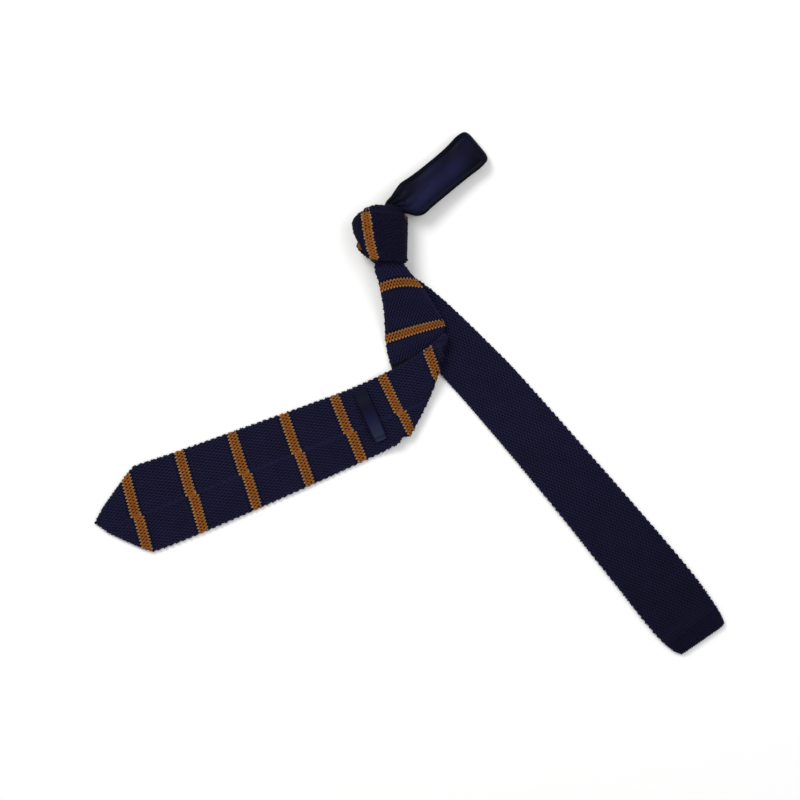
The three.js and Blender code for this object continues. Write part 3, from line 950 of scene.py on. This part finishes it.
def girth_of(tree, axis, levels):
    """For each level, the surface's points and normals all round, from the lamp side over the left."""
    turns = np.radians(np.arange(0, 360, TURN_STEP))
    out = np.stack([-np.sin(turns), np.zeros(len(turns)), np.cos(turns)], axis=1)
    points = np.full((len(levels), len(turns), 3), np.nan)
    normals = np.full((len(levels), len(turns), 3), np.nan)
    for i, y in enumerate(levels):
        middle = Vector((axis[0], y, axis[1]))
        for j, way in enumerate(out):
            place, normal, _, _ = tree.ray_cast(middle + Vector(way) * KNOT_REACH, Vector(-way))
            if place is not None and (middle - place).dot(Vector(-way)) > 0:
                points[i, j] = place
                normals[i, j] = normal if normal.dot(Vector(way)) > 0 else -normal
    return points, normals


def upright_courses(node, axis, levels, guide, count):
    """The lines of a turn's courses: each keeps its share of the girth, counted from a guide line on top."""
    points, normals = girth_of(trees[node], axis, levels)
    columns = points.shape[1]
    around = np.arange(columns)
    lines = [[] for _ in range(count)]
    for i, y in enumerate(levels):
        ring, out = points[i], normals[i]
        known = ~np.isnan(ring[:, 0])
        if known.sum() < FEWEST_RAYS:
            continue
        full = [np.interp(around, around[known], ring[known, k], period=columns) for k in range(3)]
        full = np.stack(full, axis=1)
        gaps = np.linalg.norm(np.roll(full, -1, axis=0) - full, axis=1)
        length = np.concatenate([[0], np.cumsum(gaps)])
        girth = length[-1]
        on_top = [j for j in range(columns) if full[j, 2] > axis[1]]
        nearest = min(on_top, key=lambda j: abs(full[j, 0] - guide(y)))
        for k in range(count):
            at = (length[nearest] + girth * (k - 1) / count) % girth
            j = min(int(np.searchsorted(length, at, "right")) - 1, columns - 1)
            share = (at - length[j]) / max(gaps[j], 1e-6)
            after = (j + 1) % columns
            if not (known[j] and known[after]):
                continue
            place = ring[j] * (1 - share) + ring[after] * share
            lines[k].append((i, place, out[j] * (1 - share) + out[after] * share))
    return lines


def curled(points, normals, axis):
    """The line with its two ends curled in over the rims."""
    ends = []
    for place, normal, way in ((points[0], normals[0], -1), (points[-1], normals[-1], 1)):
        inward = np.array([axis[0] - place[0], 0, axis[1] - place[2]])
        inward /= np.linalg.norm(inward)
        spots = [place + np.array([0, way * out, 0]) + inward * deep for out, deep in RIM_CURL]
        facing = [
            unit(np.array([normal + [0, way * 1.0, 0]]))[0],
            np.array([0, way, 0.0]),
            unit(np.array([[0, way, 0] + inward]))[0],
        ]
        ends.append((spots, facing))
    (first, first_out), (last, last_out) = ends
    return np.vstack([first[::-1], points, last]), np.vstack([first_out[::-1], normals, last_out])


print("levels are", LEVEL_STEP, "mm apart")

# %% [markdown]
# The knot
#
# The outer turn has one stripe, and the band has pressed its upper rim down. The inner turn is pulled tight
# and shows below the left side, where it is mustard.

# %% Knit the knot
WRAP_AXIS = (0.0, 12.6)
WRAP_LEVELS = np.arange(-21.8, 21.8, LEVEL_STEP)
WRAP_COURSES = 46
WRAP_GAUGE = (2.25, 2.15, 0.6)
CORE_AXIS = (-1.0, 10.6)
CORE_LEVELS = np.arange(-18.8, 2, LEVEL_STEP)
CORE_COURSES = 32
CORE_GAUGE = (2.3, 1.2, 0.62)  # it is drawn so tight that its loops hardly show
CORE_GUIDE = -12
CORE_STRIPE = (-11.8, -3.0)  # the part of the inner turn's height that is mustard
CORE_DYE = 1.1  # painted a little paler, a tenth of the way to the tips' highlight colour
KNOT_DARK = -0.75  # the knot's navy is darker
KNOT_STRIPE = (  # heights y, and x there
    (-19.4, -12.5, -3.5, 6.4, 17, 22),
    (-3.5, -5.7, -7.8, -9.1, -10.4, -11.9),
)
STRIPE_TOP = 17.4  # the knot's stripe goes out of sight over the rim here
STRIPE_HALF = ((15, 18), (5, 2.6))  # and half its width narrows before it
PEEP = (17.4, 8.4, 13.6)  # right of this x and between these heights, mustard from the turn's far side shows
PEEP_DYE = 0.75
PRESS = 1.8  # how far the upper rim is pressed down
PRESS_AT = (2.5, 7)  # x of the middle of the pressed stretch, and half its length
PRESS_REACH = ((12, 21), (0, 1))  # the share of that at heights y


def knit_turn(node, axis, levels, guide, count, gauge, colour):
    yarns = Yarns()
    for k, line in enumerate(upright_courses(node, axis, levels, guide, count), -1):
        breaks = [n for n in range(1, len(line)) if line[n][0] != line[n - 1][0] + 1]
        proud = PROUD if abs(k) <= 1 and node == "knot_wrap" else 0
        tight = (gauge[0], TIGHT_PITCH, gauge[2]) if proud else gauge
        for run in np.split(np.arange(len(line)), breaks):
            if len(run) < SHORTEST:
                continue
            points = np.array([line[n][1] for n in run])
            normals = np.array([line[n][2] for n in run])
            onward = np.cross([0, 1.0, 0], normals[len(normals) // 2])
            points, normals = curled(points, normals, axis)
            shift = float(np.interp(0, points[:, 1], np.arange(len(points)) * LEVEL_STEP))
            made, out, radius, wave = swing(points, normals, False, tight, k, (shift, 0), -onward, 0, proud)
            yarns.add(made, out, False, colour(k, wave, made), radius)
    return dress(yarns.make(node + "_courses"), yarn, "navy_knit")


def stripe_at(y):
    return np.interp(y, *KNOT_STRIPE)


# the stripe's loops keep their painted highlight at the tips; everywhere else the navy is darker
def wrap_dye_and_light(k, wave, line):
    x, y = line.T[:2]
    near = np.abs(x - stripe_at(y)) < np.interp(y, *STRIPE_HALF)
    colours = np.where(near & (y < STRIPE_TOP), dye_and_painted_light(k, wave), KNOT_DARK)
    colours = np.where(colours > 0, colours, KNOT_DARK)
    left, low, high = PEEP
    return np.where((x > left) & (y > low) & (y < high), PEEP_DYE, colours)


def core_dye(k, wave, line):
    low, high = CORE_STRIPE
    return np.where((line[:, 1] > low) & (line[:, 1] < high), CORE_DYE, KNOT_DARK)


def press(piece):
    points = points_of(piece)
    x, y = points.T[:2]
    y -= PRESS * hump(x, *PRESS_AT) * np.interp(y, *PRESS_REACH)
    move_to(piece, points)


wrap_courses = knit_turn("knot_wrap", WRAP_AXIS, WRAP_LEVELS, stripe_at, WRAP_COURSES, WRAP_GAUGE, wrap_dye_and_light)
press(wrap_courses)
press(grounds["knot_wrap"])
core_courses = knit_turn(
    "knot_core", CORE_AXIS, CORE_LEVELS, lambda y: CORE_GUIDE, CORE_COURSES, CORE_GAUGE, core_dye)

# %% [markdown]
# Satin
#
# The neck band and the keeper are satin: a smooth cloth whose threads all run one way. From above it hardly
# mirrors anything, so most of its look is a soft change from black to blue where the cloth rises and falls.
# That change is painted sheen and shade: an attribute of the mesh, worked out with the folds and varied by
# stretched noise streaks, mixes shaded, lit and highlight copies of the navy. Fine slanted bumps are its
# weave.

# %% Satin material
# painted sheen and shade: shaded, lit and highlight copies of the satin's navy
SATIN_SHADED = (0.0014, 0.0017, 0.0054, 1)
SATIN_LIT = (0.0076, 0.0081, 0.0330, 1)
SATIN_HIGHLIGHT = (0.0215, 0.0260, 0.0500, 1)
TWILL_PITCH = 0.0007
TWILL_TURN = 1.05  # radians from X
STREAK_SCALE = 130.0
STREAK_STRETCH = (1, 9, 1)


def satin_material():
    graph = Graph("satin_weave")
    turned = {"Vector": graph.place(), "Rotation": (0, 0, -TWILL_TURN)}
    turned = graph.node("ShaderNodeMapping", values=turned)
    threads = graph.sine(graph.split(turned)[1] * (2 * math.pi / TWILL_PITCH))
    stretched = graph.node("ShaderNodeMapping", values={"Vector": turned, "Scale": STREAK_STRETCH})
    streaks = graph.noise(stretched, STREAK_SCALE, 3.0)
    light = graph.attribute("light") + (streaks - 0.5) * 0.5
    colour = graph.mix(light - 1.0, graph.mix(light, SATIN_SHADED, SATIN_LIT), SATIN_HIGHLIGHT)
    graph.bump(threads * 0.2 + streaks, strength=0.22, distance=0.0002)
    return graph.finish(colour, roughness=0.36 + 0.2 * streaks, specular=0.04)


satin = satin_material()
print("satin:", satin.name)

# %% [markdown]
# Folding the satin
#
# The band is one strip sewn double, so its edges are rolled and its ends are drawn together in the knot. A
# cloth simulation would find such folds by itself, but not the photographed ones. Each is written here as a
# rise or a fall over the strip's own length and width: a bead and a groove along the edges, pleats that fan
# out of the knot, and two slow waves along it.

# %% Fold the neck band and the keeper
SUBDIVISIONS = 2
BAND_START = (16.8, 19.8)
BAND_HEADING = 39.9
BAND_END = 66.5
BAND_BETWEEN = (9.4, 5.8)  # the height half-way between its two lengths, at its start and its end
BEAD = (0.45, 1.1, 0.8)  # height, distance from the edge, width
GROOVE = (0.5, 3.2, 1.1)
PLEATS = (0.8, 4.6)  # height, and how many across
BAND_CORNER = 1.9  # how far its far corners are drawn back, and its end pushed out between them
BAND_BULGE = 0.7
BAND_LEFT = ((-8, -3, 2, 8), (0, -1.5, -1.0, 0.3))  # how far its left edge has spread along it
BAND_RIGHT = ((-4, 2, 6, 14), (0, 2.0, 1.9, 0.9))  # and its right one
WAVE = (0.4, 31, 0.9)  # height, length, and how much it slants
KEEPER_HEADING = -66.3  # from its top end to its lower one
KEEPER_WIDER = (1.9, 0.3)  # how much wider it is pressed than it was cut, at its two ends
KEEPER_TURN = 2.6  # how far from its lower end it is turned under


def ease(value, low, high):
    t = np.clip((value - low) / (high - low), 0, 1)
    return t * t * (3 - 2 * t)


def fine_copy(node):
    piece = copy_of_node(node, node + "_satin")
    bpy.ops.object.mode_set(mode="EDIT")
    bpy.ops.mesh.tris_convert_to_quads()
    bpy.ops.object.mode_set(mode="OBJECT")
    bpy.ops.object.modifier_add(type="SUBSURF")
    piece.modifiers[-1].levels = SUBDIVISIONS
    piece.modifiers[-1].render_levels = SUBDIVISIONS
    bpy.ops.object.modifier_apply(modifier=piece.modifiers[-1].name)
    bpy.ops.object.shade_smooth()
    return piece


def places_on(piece, strip):
    """The mesh's points, how far each lies along the strip, its share of the way across, and how far it is
    from the edge."""
    points = points_of(piece)
    out, across = strip.local(points)
    slots = np.round(out).astype(int)
    slots -= slots.min()
    left = np.full(slots.max() + 1, -1e9)
    right = np.full(slots.max() + 1, 1e9)
    np.maximum.at(left, slots, across)
    np.minimum.at(right, slots, across)
    width = np.maximum(left[slots] - right[slots], 1)
    share = (across - right[slots]) / width
    return points, out, share, np.minimum(share, 1 - share) * width


def put_back(piece, points, light):
    move_to(piece, points)
    layer = piece.data.attributes.new("light", "FLOAT", "POINT")
    layer.data.foreach_set("value", np.clip(light, 0, 2).astype(np.float32))


def fold_band(piece):
    strip = Run(BAND_START, BAND_HEADING, 1)
    points, out, share, edge = places_on(piece, strip)
    upper = ease(points[:, 2] - np.interp(out, [0, BAND_END], BAND_BETWEEN), 0, 2.5)
    away = ease(out, 4, 10)
    rise = (BEAD[0] * hump(edge, *BEAD[1:]) - GROOVE[0] * hump(edge, *GROOVE[1:])) * away
    near = 1 - ease(out, -3, 15)
    pleat = np.sin(2 * np.pi * PLEATS[1] * share + 0.6)
    rise += PLEATS[0] * pleat * near * ease(share, 0.15, 0.5)
    wave = np.sin(2 * np.pi * (out / WAVE[1] - share * WAVE[2]))
    rise += WAVE[0] * wave * away * (1 - ease(out, 50, 62)) * ease(edge, 2, 6)
    points[:, 2] += rise * upper
    off_middle = np.abs(2 * share - 1)
    drawn = (BAND_BULGE - (BAND_BULGE + BAND_CORNER) * off_middle ** 7) * ease(out, 57, BAND_END)
    wider = np.interp(out, *BAND_LEFT) * share - np.interp(out, *BAND_RIGHT) * (1 - share)
    points[:, :2] += drawn[:, None] * strip.ahead + wider[:, None] * strip.across
    # painted sheen and shade: a broad sheen slanting along the band and a thin one near its left edge,
    # lighter and darker with the slow waves and the pleats, and darker at the rolled edges and among the
    # pleats left of the root
    glow = hump(share, 0.40 + 0.003 * (out - 25), 0.27) * ease(out, -4, 6) * (1 - 0.75 * ease(out, 40, 58))
    glow += 0.35 * hump(share, 0.78, 0.08) * hump(out, 28, 16)
    edge_and_pleat_shade = ease(edge, 1.2, 3.4) * (1 - 0.9 * near * ease(share, 0.45, 0.7))
    light = (0.1 + 0.95 * glow + 0.12 * wave + 0.2 * pleat * near) * edge_and_pleat_shade
    put_back(piece, points, light)


def fold_keeper(piece):
    low, high = (np.array(c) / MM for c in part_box("keeper_loop"))
    strip = Run((low + high)[:2] / 2, KEEPER_HEADING, 1)
    points, out, share, edge = places_on(piece, strip)
    half = out.max()
    turn = half - KEEPER_TURN
    rise = 0.12 * hump(edge, 0.7, 0.4) - 0.1 * hump(edge, 1.5, 0.5) - 0.25 * hump(out, turn, 0.5)
    points[:, 2] += rise * ease(points[:, 2] - high[2] + 1.4, -1.5, 0)
    wider = np.interp(out, (-half, half), KEEPER_WIDER) * (share - 0.5)
    points[:, :2] += wider[:, None] * strip.across
    # painted sheen and shade: lighter towards the lower end, darker at the edges and in the crease where the
    # end is turned under
    light = 0.3 + 1.5 * ease(out, -half * 0.5, half * 0.9)
    light *= 0.6 + 0.4 * ease(edge, 0.3, 1.2)
    light *= 1 - 0.45 * hump(out, turn, 0.7)
    put_back(piece, points, light)


neck_band = fine_copy("neck_band")
fold_band(neck_band)
dress(neck_band, satin, "navy_satin", "neck_band")
keeper = fine_copy("keeper_loop")
fold_keeper(keeper)
dress(keeper, satin, "navy_satin", "keeper_loop")
print("satin faces:", len(neck_band.data.polygons), len(keeper.data.polygons))
